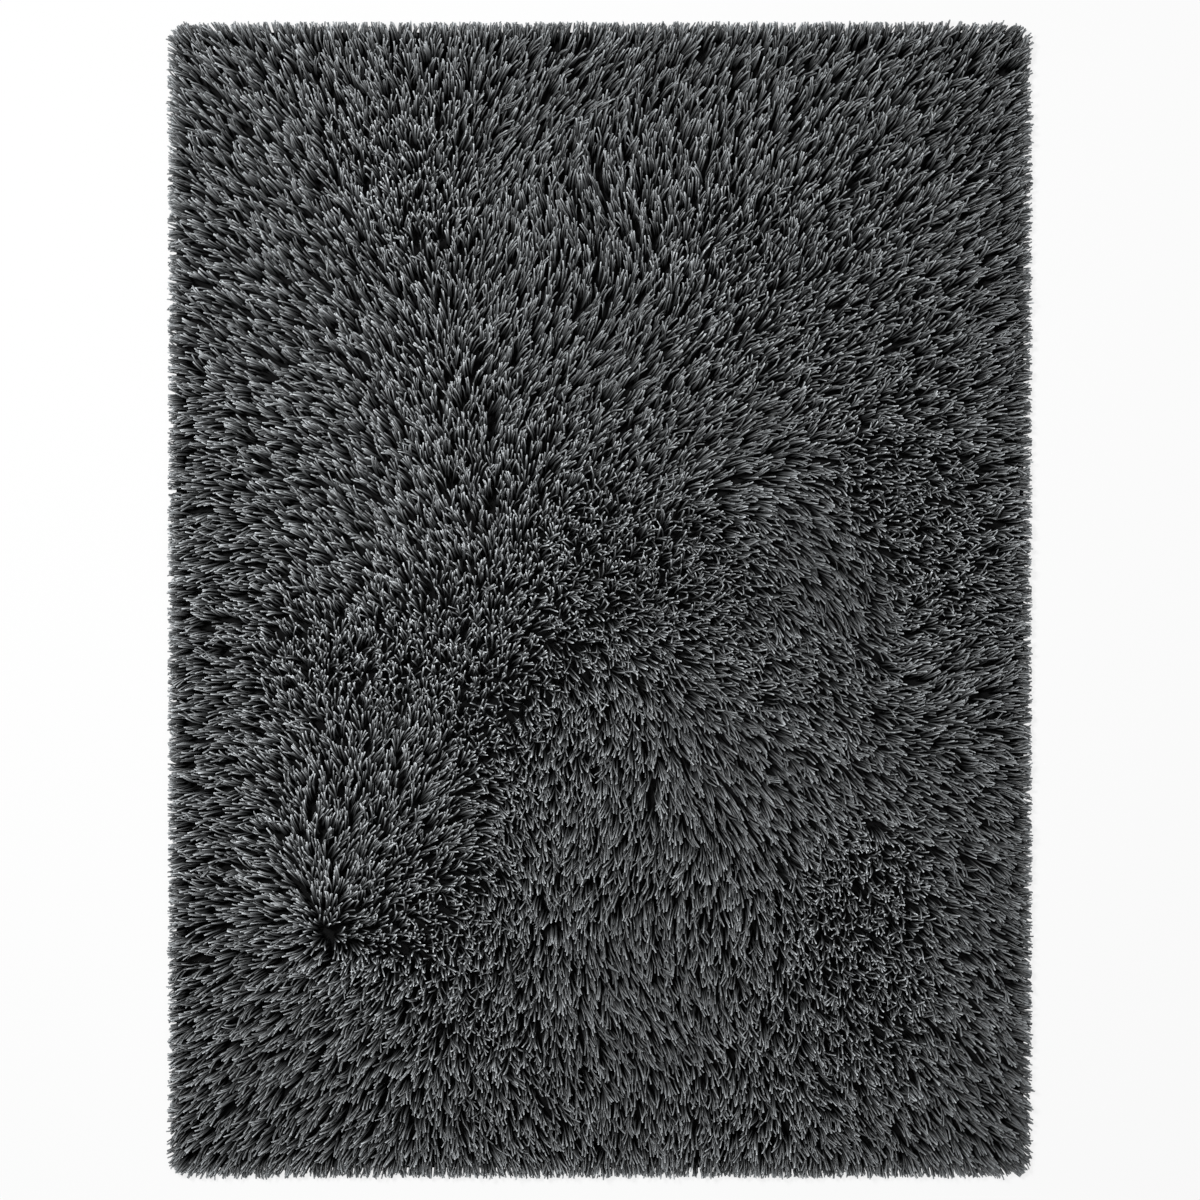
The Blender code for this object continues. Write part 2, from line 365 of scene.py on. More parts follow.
def nearness_to_rim(spots):
    """1 at the backing's edge, falling to 0 at RIM_BAND in from it."""
    inward = np.minimum(HALF_WIDTH - abs(spots[:, 0]), HALF_LENGTH - abs(spots[:, 1]))
    return 1.0 - smoothstep(inward / RIM_BAND)


def comb(spots):
    """The lay and the stir of the pile at each spot: flat vectors towards the tips.

    Where strokes disagree, the pile's way and how flat it lies are blended apart.
    """
    pull = OUTWARD_PULL + RIM_PULL * nearness_to_rim(spots)
    share = spots / (HALF_WIDTH, HALF_LENGTH)
    outward = np.sign(share) * abs(share) ** OUTWARD_SQUARENESS
    outward /= np.linalg.norm(outward, axis=1, keepdims=True) + TINY
    lay = outward * (OUTWARD_LAY * pull)[:, None]
    strength = OUTWARD_LAY * pull
    stir = np.zeros(len(spots))
    weights = pull.copy()
    for stroke in STROKES:
        apart = np.hypot(spots[:, 0] - stroke.x, spots[:, 1] - stroke.y)
        apart /= stroke.spread
        weight = np.exp(-0.5 * apart * apart)
        angle = math.radians(stroke.heading)
        way = np.array((math.cos(angle), math.sin(angle))) * stroke.lay
        lay += weight[:, None] * way
        strength += weight * stroke.lay
        stir += weight * stroke.stir
        weights += weight
    agreed = np.linalg.norm(lay, axis=1) / strength
    lay *= (agreed ** (LAY_KEPT - 1) / weights)[:, None]
    return lay, stir / weights


def parting(spots):
    """How fast the lay spreads apart at each spot, per metre; below 0 where it closes up."""
    step = PARTING_STEP
    across = comb(spots + (step, 0))[0][:, 0] - comb(spots - (step, 0))[0][:, 0]
    along = comb(spots + (0, step))[0][:, 1] - comb(spots - (0, step))[0][:, 1]
    return (across + along) / (2 * step)


# ---- where the tufts stand ---------------------------------------------------------------
FIELD_SEED = 7


def rounded_outline(half_width, half_length, radius, pitch):
    """Points at an even pitch round a rectangle with rounded corners, anticlockwise."""
    points = []
    corners = ((1, 1), (-1, 1), (-1, -1), (1, -1))
    for turn, (side_x, side_y) in enumerate(corners):
        centre = np.array((side_x * (half_width - radius), side_y * (half_length - radius)))
        steps = max(2, round(radius * math.pi / 2 / pitch))
        for step in range(steps + 1):
            angle = (turn + step / steps) * math.pi / 2
            points.append(centre + radius * np.array((math.cos(angle), math.sin(angle))))
        if turn % 2 == 0:
            side = np.array((-side_x * 2 * (half_width - radius), 0))
        else:
            side = np.array((0, -side_y * 2 * (half_length - radius)))
        count = round(np.linalg.norm(side) / pitch)
        start = points[-1]
        for step in range(1, count):
            points.append(start + side * step / count)
    return np.array(points)


def rim_spots():
    """Roots of the row of tufts that runs round the rim."""
    return rounded_outline(HALF_WIDTH - RIM_INSET, HALF_LENGTH - RIM_INSET,
                           BACKING_CORNER, RIM_PITCH)


def field_spots():
    """Roots of the field's tufts: staggered rows, each tuft a little off its place.

    Where the comb parts the pile more tufts stand, so that its backing doesn't show.
    """
    rng = np.random.default_rng(FIELD_SEED)
    half_width = HALF_WIDTH - FIELD_INSET
    half_length = HALF_LENGTH - FIELD_INSET
    columns = round(2 * half_width / TUFT_PITCH)
    rows = round(2 * half_length / (TUFT_PITCH * math.sqrt(3) / 2))
    column, row = np.meshgrid(np.arange(columns), np.arange(rows))
    x = (column + 0.25 + 0.5 * (row % 2)) / columns * 2 - 1
    y = (row + 0.5) / rows * 2 - 1
    spots = np.stack((x.ravel() * half_width, y.ravel() * half_length), axis=1)
    share = 1.0 + parting(spots) * PARTING_FILL + nearness_to_rim(spots) * RIM_FILL
    share = np.clip(share, 1.0, MOST_TUFTS)
    spots = np.repeat(spots, np.floor(share + rng.random(len(spots))).astype(int), axis=0)
    spots += rng.uniform(-1, 1, spots.shape) * TUFT_STRAY * TUFT_PITCH
    return np.clip(spots, (-half_width, -half_length), (half_width, half_length))


def tuft_mesh(name, spots):
    """A mesh of loose points, one for each tuft, with the comb's lay and stir on them."""
    mesh = bpy.data.meshes.new(name)
    mesh.vertices.add(len(spots))
    ground = np.full(len(spots), BACKING_THICKNESS * ROOT_HEIGHT_SHARE)
    mesh.vertices.foreach_set("co", np.column_stack((spots, ground)).ravel())
    lay, stir = comb(spots)
    flat = np.column_stack((lay, np.zeros(len(spots))))
    mesh.attributes.new("lay", "FLOAT_VECTOR", "POINT").data.foreach_set("vector", flat.ravel())
    for value, amounts in (("stir", stir), ("rim", nearness_to_rim(spots))):
        mesh.attributes.new(value, "FLOAT", "POINT").data.foreach_set("value", amounts)
    return mesh


# ---- yarn --------------------------------------------------------------------------------
SIDES = 3                   # faces round a yarn
YARN_RINGS = (0.48, 0.75, 0.97)     # along a yarn, where its rings of points are
TIP_SHARE = 0.84            # thickness of a yarn at its cut end, as a share of the full one
# the yarns' shades are partly their own tone at random and partly painted shade on the shorter
# yarns
DYE_AND_SHADE_LOTS = 48               # shades that the yarns differ by
LOT_WIDTH = 1.0 / 50        # width of one shade's column on the yarns' map

ROOT_ANGLE_SHARE = 0.32     # a yarn's lean at its root, as a share of its lean at the tip
LEAST_TIP_ANGLE = 0.16      # lean of an upright yarn's tip from straight up, in radians
FLAT_TIP_ANGLE = 1.52       # the same for a yarn that lies as flat as the pile gets
MOST_TIP_ANGLE = 1.66       # of any yarn, before the rim's droop
RIM_DROOP = 0.88            # most by which the rim's yarns bend over further, in radians

TUFT_TURN = 0.25            # radians by which an even tuft strays from the comb's way
STIRRED_LEAN = 0.22         # how far a tousled tuft leans its own way
STIRRED_GROUP_LEAN = 0.40   # how far a group of tousled tufts does, beyond an even group
TUFT_LEAN_SPREAD = 0.10     # share by which the tufts' leans differ
TUFT_LENGTH_SPREAD = 0.06   # share by which the tufts' lengths differ
GROUP_SCALE = 22.0          # how many groups of tufts that lean alike there are in a metre
GROUP_LEAN = 0.07           # how much a group of tufts leans its own way
TUFT_LEAST_GATHER = 0.1     # how far a tuft's yarns draw together at their tips: 1 is wholly
TUFT_MOST_GATHER = 0.78
STIRRED_FAN = 0.20          # how far a tousled tuft's fan out instead
TUFT_LAYERS = 0.08          # how much more its front yarns lean, and its hind ones less
FRONT_ROUNDING = 0.18       # how much shorter the yarns at a tuft's sides are
YARN_STRAY = 0.045          # how much an even yarn strays from its tuft
STIRRED_STRAY = 0.14        # the same for a tousled one
TUFT_CURL = 0.15            # sideways hook of an even tuft's end, as a share of its length
YARN_CURL = 0.05            # the same for each of its yarns beyond its tuft's
STIRRED_CURL = 0.32         # the same for a tousled tuft's
CURL_DROP = 0.6             # how far a hooked end sinks, as a share of its hook
TUFT_BOW = 0.040            # sideways bulge of a tuft's middle, as a share of its length
YARN_BOW = 0.012            # the same for each yarn beyond its tuft's
BOW_PEAK = 0.25             # what the bow's own curve comes to at the middle of a yarn
YARN_LEAST_LENGTH = 0.78    # of a tuft's shortest yarns, as a share of the tuft's length
YARN_MOST_LENGTH = 1.12     # and of its longest
TUFT_SHADE_SHARE = 0.28     # how much of a yarn's shade its whole tuft has
# the next two set how much of the painted shade and highlight along a yarn each gets
FLAT_SHOWN = 0.12           # how much more of its length a flat, even yarn shows to the light
STIRRED_HIDDEN = 0.30       # how much less of it a tousled one shows
RIM_CALM = 0.50             # share by which the tufts and yarns stray less at the rim
LEAST_LAY = 1e-4            # added to each lay, so that an upright yarn has a way too
LEAST_STEP = 1e-3           # least part of a yarn's way that counts as towards the trim line

# values that only the pile's nodes need, which are taken off the finished pile
SPARE_VALUES = ("lay", "stir", "rim", "tuft_lay", "tuft_shade", "tuft_length",
                "tuft_gather", "tuft_curl", "tuft_bow", "yarn_lay",
                "shade", "yarn_length", "curl", "bow", "gather", "tip_angle", "root")


def yarn_template():
    """One straight closed yarn of unit height: a root point, rings and a cut end."""
    heights = YARN_RINGS
    shape = bmesh.new()
    yarn_map = shape.loops.layers.uv.new("OFBake")
    angles = [math.tau * side / SIDES for side in range(SIDES)]
    shares = [TIP_SHARE if height == heights[-1] else 1.0 for height in heights]
    rings = [[shape.verts.new((YARN_RADIUS * share * math.cos(angle),
                               YARN_RADIUS * share * math.sin(angle), height))
              for angle in angles] for height, share in zip(heights, shares)]
    root = shape.verts.new((0, 0, 0))

    def add_face(corners, spots):
        face = shape.faces.new(corners)
        face.smooth = True
        for loop, spot in zip(face.loops, spots):
            loop[yarn_map].uv = spot

    for side in range(SIDES):
        after = (side + 1) % SIDES
        left, right = side / SIDES, (side + 1) / SIDES
        add_face((root, rings[0][after], rings[0][side]),
                 (((left + right) / 2, 0), (right, heights[0]), (left, heights[0])))
        for lower, upper, low, high in zip(rings, rings[1:], heights, heights[1:]):
            add_face((lower[side], lower[after], upper[after], upper[side]),
                     ((left, low), (right, low), (right, high), (left, high)))
    add_face(rings[-1], ((0, heights[-1]), (1, heights[-1]), (0.5, 1)))
    bmesh.ops.recalc_face_normals(shape, faces=list(shape.faces))
    mesh = bpy.data.meshes.new("yarn_template")
    shape.to_mesh(mesh)
    shape.free()
    return add_object("yarn_template", mesh)


def random_value(graph, low, high, seed):
    """A random number for each tuft or yarn, evenly spread between two others."""
    return graph.add("FunctionNodeRandomValue", {"data_type": "FLOAT"},
                     {"Min": low, "Max": high, "Seed": seed})


def named(graph, name, kind="FLOAT"):
    """A value that the geometry carries under a name."""
    return graph.add("GeometryNodeInputNamedAttribute", {"data_type": kind}, {"Name": name})


def store(graph, geometry, name, value, kind="FLOAT", domain="POINT"):
    """The geometry, now with a value on it under a name."""
    return graph.add("GeometryNodeStoreNamedAttribute", {"data_type": kind, "domain": domain},
                     {"Geometry": geometry, "Name": name, "Value": value})


def turned(vector, angle):
    """A flat vector turned about the upright by an angle in radians."""
    graph = vector.graph
    x, y, _ = vector.parts()
    sine, cosine = angle.sin(), angle.cos()
    return graph.vector(x * cosine - y * sine, x * sine + y * cosine)


def way_and_side(lay):
    """Unit flat vectors along a lay and square to it."""
    graph = lay.graph
    way = (lay + graph.vector(LEAST_LAY, 0.0)).unit()
    x, y, _ = way.parts()
    return way, graph.vector(-y, x)


def spread(graph, most, seed):
    """A random number between minus the most and the most."""
    return random_value(graph, -1.0, 1.0, seed) * most


def tuft_lay(graph, calm, seed):
    """Each tuft's own lay: the comb's, with its group's drift, its turn and its lean."""
    place = graph.add("GeometryNodeInputPosition")
    drift = graph.add("ShaderNodeTexNoise", {"noise_dimensions": "3D"},
                      {"Vector": place, "Scale": GROUP_SCALE, "Detail": 1.0},
                      output="Color")
    drift = graph.add("ShaderNodeVectorMath", {"operation": "SUBTRACT"},
                      {0: drift, 1: (0.5, 0.5, 0.5)})
    drift_x, drift_y, _ = drift.parts()
    stir = named(graph, "stir")
    drift = graph.vector(drift_x, drift_y) * (calm * GROUP_LEAN + stir * STIRRED_GROUP_LEAN)
    stray = root_offset(graph, seed + 13) * (stir * STIRRED_LEAN)
    turn = spread(graph, calm * TUFT_TURN, seed)
    lean = 1.0 + spread(graph, calm * TUFT_LEAN_SPREAD, seed + 1)
    return turned(named(graph, "lay", "FLOAT_VECTOR") + drift, turn) * lean + stray


def root_offset(graph, seed):
    """Where in its tuft a yarn roots: a spot in a small disc, one unit in radius."""
    angle = random_value(graph, 0.0, math.tau, seed)
    reach = random_value(graph, 0.0, 1.0, seed + 1) ** 0.5
    return graph.vector(angle.cos() * reach, angle.sin() * reach)


def tip_angle(lay, droop):
    """How far a yarn's tip leans from straight up, in radians."""
    tip = LEAST_TIP_ANGLE + lay.length() * ((FLAT_TIP_ANGLE - LEAST_TIP_ANGLE) / OUTWARD_LAY)
    return tip.least(MOST_TIP_ANGLE) + droop


def trimmed(root, way, length, tip, short):
    """A yarn's length, cut where it would pass the trim line round the rug."""
    start = tip * ROOT_ANGLE_SHARE
    reach = (start.cos() - tip.cos()) / (tip - start)
    x, y, _ = (root * way.maths("SIGN")).parts()
    step_x, step_y, _ = way.maths("ABSOLUTE").parts()
    for at, step, limit in ((x, step_x, TRIM_LINE[0]), (y, step_y, TRIM_LINE[1]),
                            (x + y, step_x + step_y, sum(TRIM_LINE) - TRIM_CORNER)):
        room = (limit - short - at) / step.most(LEAST_STEP)
        length = length.least(room / reach)
    return length


def bend(graph, place, lay):
    """Where a point of a straight yarn goes when the yarn is rooted, leaned and curled.

    A yarn leans evenly more from its root to its tip, so its middle line is an arc.
    """
    root = named(graph, "root", "FLOAT_VECTOR")
    length = named(graph, "yarn_length")
    tip = named(graph, "tip_angle")
    x, y, along = (place - root).parts()
    way, side = way_and_side(lay)
    start = tip * ROOT_ANGLE_SHARE
    here = start + (tip - start) * along
    scale = length / (tip - start)
    out = (start.cos() - here.cos()) * scale
    up = (here.sin() - start.sin()) * scale
    squared = along * along
    hook = named(graph, "curl") * squared * squared * length
    bow = named(graph, "bow") * (along - squared) * length + hook
    bow = bow - named(graph, "gather") * squared
    up = up - hook.maths("ABSOLUTE") * CURL_DROP
    upright = graph.vector(0.0, 0.0, 1.0)
    across = way * here.cos() - upright * here.sin()
    return root + way * out + upright * up + side * (bow + x) + across * y


def tuft_points(graph, tufts, calm, seed):
    """A point for each tuft, with the values that all its yarns share."""
    tufts = graph.add("GeometryNodeMeshToPoints", inputs={"Mesh": tufts})
    tufts = store(graph, tufts, "tuft_lay", tuft_lay(graph, calm, seed), "FLOAT_VECTOR")
    tufts = store(graph, tufts, "tuft_shade", random_value(graph, 0.0, 1.0, seed + 2))
    tufts = store(graph, tufts, "tuft_length",
                  1.0 + spread(graph, calm * TUFT_LENGTH_SPREAD, seed + 12))
    tufts = store(graph, tufts, "tuft_gather",
                  random_value(graph, TUFT_LEAST_GATHER, TUFT_MOST_GATHER, seed + 17))
    tufts = store(graph, tufts, "tuft_curl", spread(graph, TUFT_CURL, seed + 18))
    return store(graph, tufts, "tuft_bow", spread(graph, TUFT_BOW / BOW_PEAK, seed + 19))


def yarn_points(graph, given, tufts, calm, seed):
    """A point for each yarn of each tuft, with the values that bend it to its shape."""
    amount = graph.add("FunctionNodeRandomValue", {"data_type": "INT"},
                       {"Min": given["Fewest Yarns"], "Max": given["Most Yarns"],
                        "Seed": seed + 3})
    yarns = graph.add("GeometryNodeDuplicateElements", {"domain": "POINT"},
                      {"Geometry": tufts, "Amount": amount})
    place = graph.add("GeometryNodeInputPosition")
    stir, rim = named(graph, "stir"), named(graph, "rim")

    # where in its tuft the yarn roots, and which way it leans
    lay = named(graph, "tuft_lay", "FLOAT_VECTOR")
    way, side = way_and_side(lay)
    along, across, _ = root_offset(graph, seed + 4).parts()
    root = way * (along * given["Tuft Half Depth"]) + side * (across * given["Tuft Half Width"])
    stray = root_offset(graph, seed + 6) * (calm * YARN_STRAY + stir * STIRRED_STRAY)
    fan = across * (stir * STIRRED_FAN)
    lay = lay + side * fan + way * (along * TUFT_LAYERS) + stray
    tip = tip_angle(lay, rim * random_value(graph, 0.0, RIM_DROOP, seed + 14))

    # how long it is: the palest yarns of a tuft are its longest, so the shorter ones, lower in
    # the pile, get painted shade
    chance = random_value(graph, 0.0, 1.0, seed + 8)
    length = given["Yarn Length"] * named(graph, "tuft_length")
    length = length * (1.0 - rim * (1.0 - RIM_LENGTH_SHARE))
    length = length * (1.0 - across * across * FRONT_ROUNDING)
    length = length * (YARN_LEAST_LENGTH + chance * (YARN_MOST_LENGTH - YARN_LEAST_LENGTH))
    short = random_value(graph, 0.0, TRIM_TEETH, seed + 15)
    length = trimmed(place + root, way_and_side(lay)[0], length, tip, short)

    # a yarn's shade is partly its own tone at random and partly painted shade, darker on a
    # tuft's shorter yarns
    shade = named(graph, "tuft_shade") * TUFT_SHADE_SHARE + chance * (1.0 - TUFT_SHADE_SHARE)
    curl = named(graph, "tuft_curl") + spread(graph, YARN_CURL + stir * STIRRED_CURL, seed + 10)
    bow = named(graph, "tuft_bow") + spread(graph, YARN_BOW / BOW_PEAK, seed + 16)
    gather = across * given["Tuft Half Width"] * ((1.0 - stir) * named(graph, "tuft_gather"))
    yarns = store(graph, yarns, "yarn_lay", lay, "FLOAT_VECTOR")
    for name, value in (("shade", shade), ("yarn_length", length), ("curl", curl),
                        ("bow", bow), ("gather", gather), ("tip_angle", tip)):
        yarns = store(graph, yarns, name, value)
    yarns = graph.add("GeometryNodeSetPosition", inputs={"Geometry": yarns, "Offset": root})
    return store(graph, yarns, "root", place, "FLOAT_VECTOR")


def straight_pile(graph, given, yarns, seed):
    """A straight upright yarn on each point, turned about itself at random."""
    spin = graph.vector(0.0, 0.0, random_value(graph, 0.0, math.tau, seed + 11))
    spin = graph.add("FunctionNodeEulerToRotation", inputs={0: spin})
    template = graph.add("GeometryNodeObjectInfo", inputs={"Object": given["Yarn"]},
                         output="Geometry")
    pile = graph.add("GeometryNodeInstanceOnPoints",
                     inputs={"Points": yarns, "Instance": template, "Rotation": spin})
    return graph.add("GeometryNodeRealizeInstances", inputs={"Geometry": pile})


def shade_spot(graph):
    """Where a point of a yarn lies on the yarns' map: its shade's column, and its height.

    A flat, even yarn gets less of the painted shade along it and more of the painted highlight
    at its end, and a tousled one more of the painted shade.
    """
    column, height, _ = named(graph, "OFBake", "FLOAT_VECTOR").parts()
    stir = named(graph, "stir")
    shown = named(graph, "yarn_lay", "FLOAT_VECTOR").length() * (1.0 - stir) * FLAT_SHOWN
    hidden = stir * STIRRED_HIDDEN - shown.least(FLAT_SHOWN)
    height = (1.0 - (1.0 - height) * (1.0 + hidden)).most(0.0)
    lot = (named(graph, "shade") * DYE_AND_SHADE_LOTS).maths("FLOOR").least(DYE_AND_SHADE_LOTS - 1.0) + 1.0
    return graph.vector((lot + column) * LOT_WIDTH, height)


def pile_tree(seed):
    """Geometry Nodes that grow a tuft of yarns on every loose point of a mesh.

    The seeds of its random values are counted up from the one that is given.
    """
    tree = bpy.data.node_groups.new("tufted_pile", "GeometryNodeTree")
    for name, way, kind in (("Tufts", "INPUT", "NodeSocketGeometry"),
                            ("Yarn", "INPUT", "NodeSocketObject"),
                            ("Fewest Yarns", "INPUT", "NodeSocketInt"),
                            ("Most Yarns", "INPUT", "NodeSocketInt"),
                            ("Yarn Length", "INPUT", "NodeSocketFloat"),
                            ("Tuft Half Width", "INPUT", "NodeSocketFloat"),
                            ("Tuft Half Depth", "INPUT", "NodeSocketFloat"),
                            ("Material", "INPUT", "NodeSocketMaterial"),
                            ("Pile", "OUTPUT", "NodeSocketGeometry")):
        tree.interface.new_socket(name, in_out=way, socket_type=kind)
    graph = Graph(tree)
    entry = graph.add("NodeGroupInput").socket.node
    given = {socket.name: Wire(graph, socket) for socket in entry.outputs}

    calm = 1.0 - named(graph, "rim") * RIM_CALM
    tufts = tuft_points(graph, given["Tufts"], calm, seed)
    yarns = yarn_points(graph, given, tufts, calm, seed)
    pile = straight_pile(graph, given, yarns, seed)
    bent = bend(graph, graph.add("GeometryNodeInputPosition"),
                named(graph, "yarn_lay", "FLOAT_VECTOR"))
    pile = graph.add("GeometryNodeSetPosition", inputs={"Geometry": pile, "Position": bent})
    pile = store(graph, pile, "OFBake", shade_spot(graph), "FLOAT2", "CORNER")
    pile = graph.add("GeometryNodeSetMaterial",
                     inputs={"Geometry": pile, "Material": given["Material"]})
    leave = tree.nodes.new("NodeGroupOutput")
    tree.links.new(pile.socket, leave.inputs["Pile"])
    return tree


def grow_pile(name, spots, tree, template, material, yarns, half_width):
    """Run the pile's nodes on some tufts and keep the result as a plain mesh."""
    source = add_object(name + "_tufts", tuft_mesh(name + "_tufts", spots))
    modifier = source.modifiers.new("pile", "NODES")
    modifier.node_group = tree
    values = {"Yarn": template, "Fewest Yarns": yarns[0], "Most Yarns": yarns[1],
              "Yarn Length": YARN_LENGTH, "Tuft Half Width": half_width,
              "Tuft Half Depth": TUFT_HALF_DEPTH, "Material": material}
    for socket in tree.interface.items_tree:
        if socket.name in values:
            modifier[socket.identifier] = values[socket.name]
    view = bpy.context.evaluated_depsgraph_get()
    mesh = bpy.data.meshes.new_from_object(source.evaluated_get(view))
    mesh.name = name
    for spare in [a.name for a in mesh.attributes if a.name in SPARE_VALUES]:
        mesh.attributes.remove(mesh.attributes[spare])
    bpy.data.objects.remove(source)
    return add_object(name, mesh)


# ---- finishes ----------------------------------------------------------------------------
YARN_TINT = (0.95, 1.0, 1.03)       # a slightly cool grey
YARN_PAINTED_SHADE_AND_HIGHLIGHT = (             # how far along a yarn, and the grey painted there: painted shade down to the root, a painted highlight at the cut end
    (0.24, 0.004),
    (0.46, 0.012),
    (0.68, 0.037),
    (0.84, 0.098),
    (0.94, 0.28),
    (1.0, 0.52),
)
YARN_LEAST_SHADE = 0.46     # what that grey is multiplied by on the darkest yarns
YARN_MOST_SHADE = 2.2       # and on the palest
YARN_ROUGHNESS = 0.6
YARN_SPECULAR = 0.08
SHEEN = 0.65                # the silky sheen along a yarn where it is strongest
SHEEN_FROM = 0.40           # where along the yarn the sheen starts and where it would end
SHEEN_TO = 1.06
SHEEN_ROUGHNESS = 0.34

BACKING_PITCH = 0.005       # of the backing's weave: one warp over, one under
BACKING_DARK = (0.030, 0.031, 0.033)        # painted shade in the hollows between the backing's threads
BACKING_PALE = (0.105, 0.108, 0.112)        # on top of them
WEAVE_SHARE = 0.8           # of the backing's relief, the rest is fine fibre
FIBRE_SCALE = 900.0         # of the fibre's noise, per metre
PILE_SHADE_FROM = 0.9           # share of the thickness above which the pile's painted shade darkens it
PILE_SHADE_DARKENING = 0.97     # share by which that painted shade darkens it
BACKING_BUMP = 0.6          # strength of the relief
BACKING_BUMP_DEPTH = 0.0006
BACKING_ROUGHNESS = 0.85
BACKING_SPECULAR = 0.1


def new_material(name):
    """A material with its shader, and a graph that adds nodes to it."""
    material = bpy.data.materials.new(name)
    material.use_nodes = True
    graph = Graph(material.node_tree)
    return material, graph, material.node_tree.nodes["Principled BSDF"]


def feed(shader, name, wire):
    wire.graph.tree.links.new(wire.socket, shader.inputs[name])


def yarn_material():
    """Charcoal yarn in its own shade, with painted shade darkening it towards its root and a
    painted highlight at its cut end.
    """
    material, graph, shader = new_material("charcoal_pile_yarn")
    spot = graph.add("ShaderNodeUVMap", {"uv_map": "OFBake"})
    column, height, _ = spot.parts()
    lot = (column / LOT_WIDTH).maths("FLOOR") / float(DYE_AND_SHADE_LOTS)
    # painted shade and highlight: a ramp of grey along the yarn, near black at the root, pale
    # at the cut end
    ramp = graph.add("ShaderNodeValToRGB", inputs={"Fac": height})
    stops = ramp.socket.node.color_ramp.elements
    stops.remove(stops[-1])
    for place, (position, grey) in enumerate(YARN_PAINTED_SHADE_AND_HIGHLIGHT):
        stop = stops[place] if place < 1 else stops.new(position)
        stop.position = position
        stop.color = (*(grey * share for share in YARN_TINT), 1.0)
    tint = YARN_LEAST_SHADE + lot * lot * (YARN_MOST_SHADE - YARN_LEAST_SHADE)
    colour = graph.add("ShaderNodeVectorMath", {"operation": "SCALE"},
                       {"Vector": ramp, "Scale": tint})
    feed(shader, "Base Color", colour)
    peak = ((SHEEN_TO - SHEEN_FROM) / 2) ** 2
    sheen = (height - SHEEN_FROM) * (SHEEN_TO - height) * (SHEEN / peak)
    feed(shader, "Coat Weight", sheen.most(0.0))
    shader.inputs["Coat Roughness"].default_value = SHEEN_ROUGHNESS
    shader.inputs["Roughness"].default_value = YARN_ROUGHNESS
    shader.inputs["Specular IOR Level"].default_value = YARN_SPECULAR
    return material


def backing_material():
    """Plain woven backing cloth, charcoal like the yarn, its warp and weft raised, with painted
    shade between its threads.

    Its upper face, under the pile, is darkened nearly to black as painted shade.
    """
    material, graph, shader = new_material("charcoal_backing_cloth")
    place = graph.add("ShaderNodeTexCoord", output="Object")
    x, y, z = place.parts()
    warp = (x * (math.tau / BACKING_PITCH)).sin()
    weft = (y * (math.tau / BACKING_PITCH)).sin()
    over = (warp * weft) * 0.5 + 0.5
    fibre = graph.add("ShaderNodeTexNoise", inputs={"Vector": place, "Scale": FIBRE_SCALE})
    relief = over * WEAVE_SHARE + fibre * (1.0 - WEAVE_SHARE)
    # painted shade: the upper face lies in the pile's shadow, so it is darkened nearly to black
    rooted = (z / BACKING_THICKNESS).maths("GREATER_THAN", PILE_SHADE_FROM)
    # painted shade: the weave's grey darkens where its relief is low, between the threads, with
    # the fibre's own random tone mixed in
    ramp = graph.add("ShaderNodeValToRGB", inputs={"Fac": relief})
    stops = ramp.socket.node.color_ramp.elements
    stops[0].color = (*BACKING_DARK, 1.0)
    stops[1].color = (*BACKING_PALE, 1.0)
    colour = graph.add("ShaderNodeVectorMath", {"operation": "SCALE"},
                       {"Vector": ramp, "Scale": 1.0 - rooted * PILE_SHADE_DARKENING})
    feed(shader, "Base Color", colour)
    bump = graph.add("ShaderNodeBump", inputs={"Height": relief, "Strength": BACKING_BUMP,
                                               "Distance": BACKING_BUMP_DEPTH})
    feed(shader, "Normal", bump)
    shader.inputs["Roughness"].default_value = BACKING_ROUGHNESS
    shader.inputs["Specular IOR Level"].default_value = BACKING_SPECULAR
    return material


# ---- backing -----------------------------------------------------------------------------
BACKING_OUTLINE_PITCH = 0.02    # between the points of its outline


def backing_cloth(material):
    """The backing: a thin closed sheet with rounded corners that lies flat on the floor."""
    outline = rounded_outline(HALF_WIDTH, HALF_LENGTH, BACKING_CORNER,
                              BACKING_OUTLINE_PITCH)
    shape = bmesh.new()
    lower = [shape.verts.new((x, y, 0.0)) for x, y in outline]
    upper = [shape.verts.new((x, y, BACKING_THICKNESS)) for x, y in outline]
    shape.faces.new(upper)
    shape.faces.new(lower[::-1])
    count = len(outline)
    for step in range(count):
        after = (step + 1) % count
        shape.faces.new((lower[step], lower[after], upper[after], upper[step]))
    mesh = bpy.data.meshes.new("backing_cloth")
    shape.to_mesh(mesh)
    shape.free()
    mesh.materials.append(material)
    return add_object("backing_cloth", mesh)


# ---- floor, light and camera -------------------------------------------------------------
PICTURE_WIDTH = 1.6580      # what the picture spans at the height of the pile
PILE_LEVEL = 0.025          # that height
LENS = 100.0                # focal length in millimetres, on a 36 mm sensor
SENSOR = 36.0
CLIP_END = 200.0
FLOOR_HALF = 60.0
FLOOR_DROP = 0.0005         # of the floor below the backing
FLOOR_GREY = (0.1, 0.1, 0.1, 1.0)
FLOOR_ROUGHNESS = 0.9
FLOOR_GLOW = 0.818          # light of its own, which makes it look evenly white
WHITE = (1.0, 1.0, 1.0, 1.0)
WORLD_STRENGTH = 0.16
LAMPS = (                   # name, place, size, power in watts
    ("key", (-1.2, 0.8, 3.9), 0.8, 205.0),
    ("fill", (1.0, 0.4, 4.2), 1.6, 36.0),
)


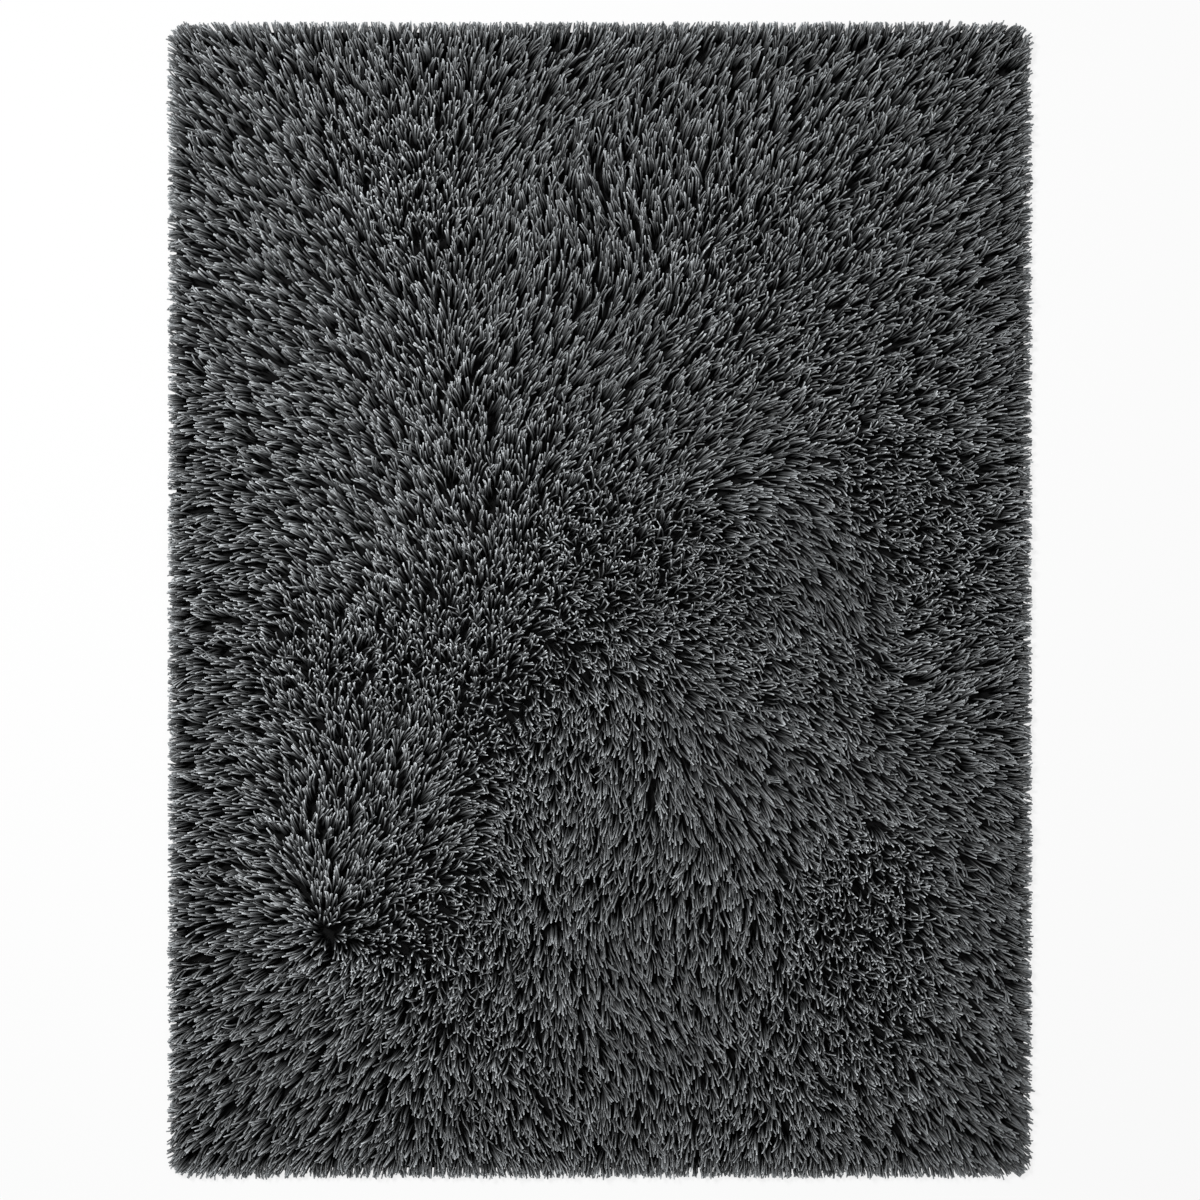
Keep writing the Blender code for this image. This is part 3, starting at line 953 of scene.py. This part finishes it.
def floor():
    mesh = bpy.data.meshes.new("floor")
    half = FLOOR_HALF
    corners = [(-half, -half, 0), (half, -half, 0), (half, half, 0), (-half, half, 0)]
    mesh.from_pydata(corners, [], [(0, 1, 2, 3)])
    ground = add_object("floor", mesh)
    ground.location.z = -FLOOR_DROP
    material, _, shader = new_material("pale_floor")
    shader.inputs["Base Color"].default_value = FLOOR_GREY
    shader.inputs["Roughness"].default_value = FLOOR_ROUGHNESS
    shader.inputs["Emission Color"].default_value = WHITE
    shader.inputs["Emission Strength"].default_value = FLOOR_GLOW
    mesh.materials.append(material)


def world():
    sky = bpy.data.worlds.new("studio")
    sky.use_nodes = True
    background = sky.node_tree.nodes["Background"]
    background.inputs["Color"].default_value = WHITE
    background.inputs["Strength"].default_value = WORLD_STRENGTH
    bpy.context.scene.world = sky


def area_light(name, place, size, power):
    """A square soft lamp that faces the middle of the rug."""
    light = bpy.data.lights.new(name, "AREA")
    light.shape = "SQUARE"
    light.size = size
    light.energy = power
    lamp = add_object(name, light)
    lamp.location = place
    lamp.rotation_mode = "QUATERNION"
    lamp.rotation_quaternion = (-Vector(place)).to_track_quat("-Z", "Y")


def camera():
    """Straight above the rug, with a long lens, as the picture was taken."""
    lens = bpy.data.cameras.new("camera")
    lens.lens = LENS
    lens.sensor_width = SENSOR
    lens.clip_end = CLIP_END
    eye = add_object("camera", lens)
    eye.location = (0.0, 0.0, PILE_LEVEL + PICTURE_WIDTH * LENS / SENSOR)
    bpy.context.scene.camera = eye


def stage_set():
    world()
    floor()
    for lamp in LAMPS:
        area_light(*lamp)
    camera()
    look = bpy.context.scene.view_settings
    look.view_transform = "Standard"
    look.look = "None"


# ---- the rug -----------------------------------------------------------------------------
BANDS = 6                   # strips across the rug that the field's pile is made in
BAND_SEED = 100             # of the first band's nodes
BAND_SEED_STEP = 20         # from one band to the next
RIM_SEED = 400


def main():
    """Set the stage, grow the pile band by band and lay it on its backing."""
    stage_set()
    template = yarn_template()
    yarn = yarn_material()
    pile = []
    spots = field_spots()
    edges = np.linspace(-HALF_LENGTH, HALF_LENGTH, BANDS + 1)
    for band in range(BANDS):
        inside = (spots[:, 1] >= edges[band]) & (spots[:, 1] < edges[band + 1])
        pile.append(grow_pile(f"pile_band_{band + 1}", spots[inside],
                              pile_tree(BAND_SEED + BAND_SEED_STEP * band), template, yarn,
                              (YARNS_FEWEST, YARNS_MOST), TUFT_HALF_WIDTH))
    pile.append(grow_pile("pile_rim", rim_spots(), pile_tree(RIM_SEED), template, yarn,
                          (RIM_YARNS, RIM_YARNS), RIM_PITCH))
    bpy.data.objects.remove(template)
    backing = backing_cloth(backing_material())
    for piece in (backing, *pile):
        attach(piece, "root")
        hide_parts("shag_rug")


main()
